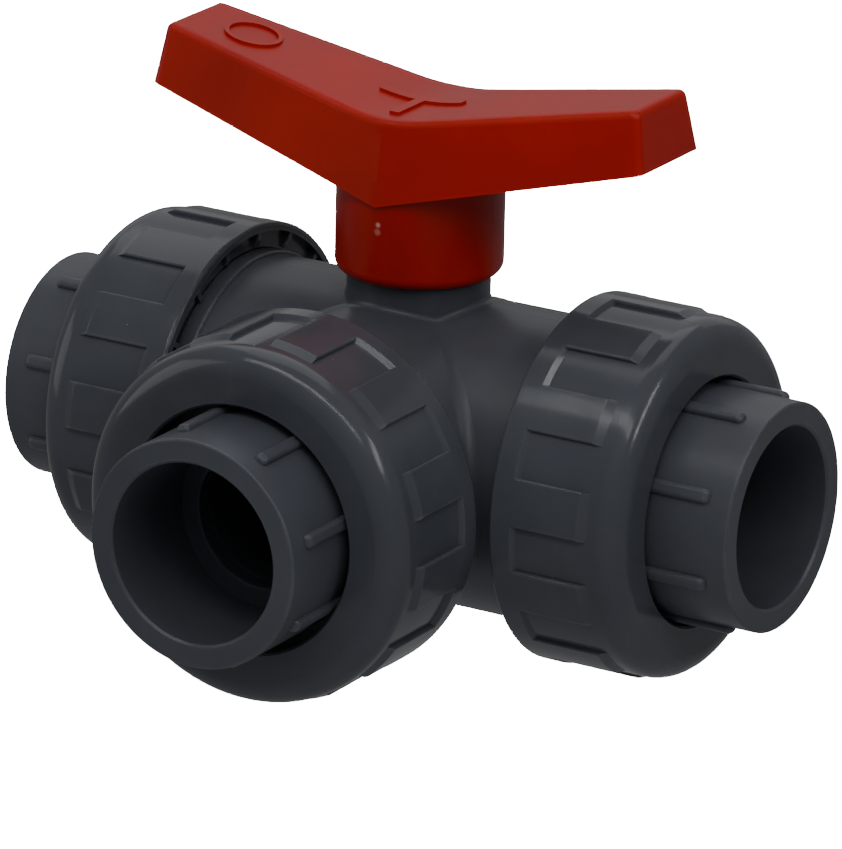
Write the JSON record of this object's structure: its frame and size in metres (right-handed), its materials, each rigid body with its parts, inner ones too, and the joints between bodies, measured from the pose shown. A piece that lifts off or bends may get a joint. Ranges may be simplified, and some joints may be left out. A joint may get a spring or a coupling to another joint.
{
  "type": "three way ball valve",
  "caption": "Three way union ball valve in grey plastic with a T shaped passage, solvent-cement pipe sockets, ribbed union nuts and a red two-armed handle.",
  "frame": {"origin": "where the three pipe axes and the stem axis cross, at the centre of the ball", "axes": "+X along the straight run towards the right port, -Y along the branch, +Z along the stem towards the handle"},
  "size_m": [0.1484, 0.1062, 0.1035],
  "materials": {
    "grey_pvc": "moulded dark grey PVC-U, satin to semi-gloss",
    "grey_nut_pvc": "moulded dark grey PVC-U nut, semi-gloss",
    "grey_carrier_pvc": "turned dark grey PVC-U",
    "grey_ball_pvc": "polished dark grey PVC-U",
    "grey_stem_pvc": "turned dark grey PVC-U",
    "ptfe": "white PTFE",
    "rubber_seal": "black EPDM",
    "red_handle": "moulded red ABS, satin gloss"
  },
  "bodies": {
    "body": {"valve_body": "grey_pvc", "seat_rear": "ptfe", "seat_o_ring_rear": "rubber_seal", "seat_right": "ptfe", "seat_o_ring_right": "rubber_seal", "seat_carrier_right": "grey_carrier_pvc", "carrier_o_ring_right": "rubber_seal", "face_o_ring_right": "rubber_seal", "seat_front": "ptfe", "seat_o_ring_front": "rubber_seal", "seat_carrier_front": "grey_carrier_pvc", "carrier_o_ring_front": "rubber_seal", "face_o_ring_front": "rubber_seal", "seat_left": "ptfe", "seat_o_ring_left": "rubber_seal", "seat_carrier_left": "grey_carrier_pvc", "carrier_o_ring_left": "rubber_seal", "face_o_ring_left": "rubber_seal"},
    "rotor": {"ball": "grey_ball_pvc", "stem": "grey_stem_pvc", "thrust_washer": "ptfe", "stem_o_ring_lower": "rubber_seal", "stem_o_ring_upper": "rubber_seal", "handle": "red_handle"},
    "connector_right": {"end_connector_right": "grey_pvc"},
    "nut_right": {"union_nut_right": "grey_nut_pvc"},
    "connector_front": {"end_connector_front": "grey_pvc"},
    "nut_front": {"union_nut_front": "grey_nut_pvc"},
    "connector_left": {"end_connector_left": "grey_pvc"},
    "nut_left": {"union_nut_left": "grey_nut_pvc"}
  },
  "joints": [
    {"name": "handle_turn", "type": "hinge", "parent": "body", "child": "rotor", "pos_m": [0, 0, 0.0315], "axis": [0, 0, 1], "continuous": true},
    {"name": "connector_right_slide", "type": "slide", "parent": "body", "child": "connector_right", "axis": [1, 0, 0], "range_m": [0, 0.012]},
    {"name": "nut_right_turn", "type": "hinge", "parent": "connector_right", "child": "nut_right", "pos_m": [0.047, 0, 0], "axis": [1, 0, 0], "range_deg": [0, 1080]},
    {"name": "connector_front_slide", "type": "slide", "parent": "body", "child": "connector_front", "axis": [0, -1, 0], "range_m": [0, 0.012]},
    {"name": "nut_front_turn", "type": "hinge", "parent": "connector_front", "child": "nut_front", "pos_m": [0, -0.047, 0], "axis": [0, -1, 0], "range_deg": [0, 1080]},
    {"name": "connector_left_slide", "type": "slide", "parent": "body", "child": "connector_left", "axis": [-1, 0, 0], "range_m": [0, 0.012]},
    {"name": "nut_left_turn", "type": "hinge", "parent": "connector_left", "child": "nut_left", "pos_m": [-0.047, 0, 0], "axis": [-1, 0, 0], "range_deg": [0, 1080]}
  ],
  "couplings": [
    {"joint": "connector_right_slide", "follows": "nut_right_turn", "m_per_rad": 0.00063662},
    {"joint": "connector_front_slide", "follows": "nut_front_turn", "m_per_rad": 0.00063662},
    {"joint": "connector_left_slide", "follows": "nut_left_turn", "m_per_rad": 0.00063662}
  ]
}
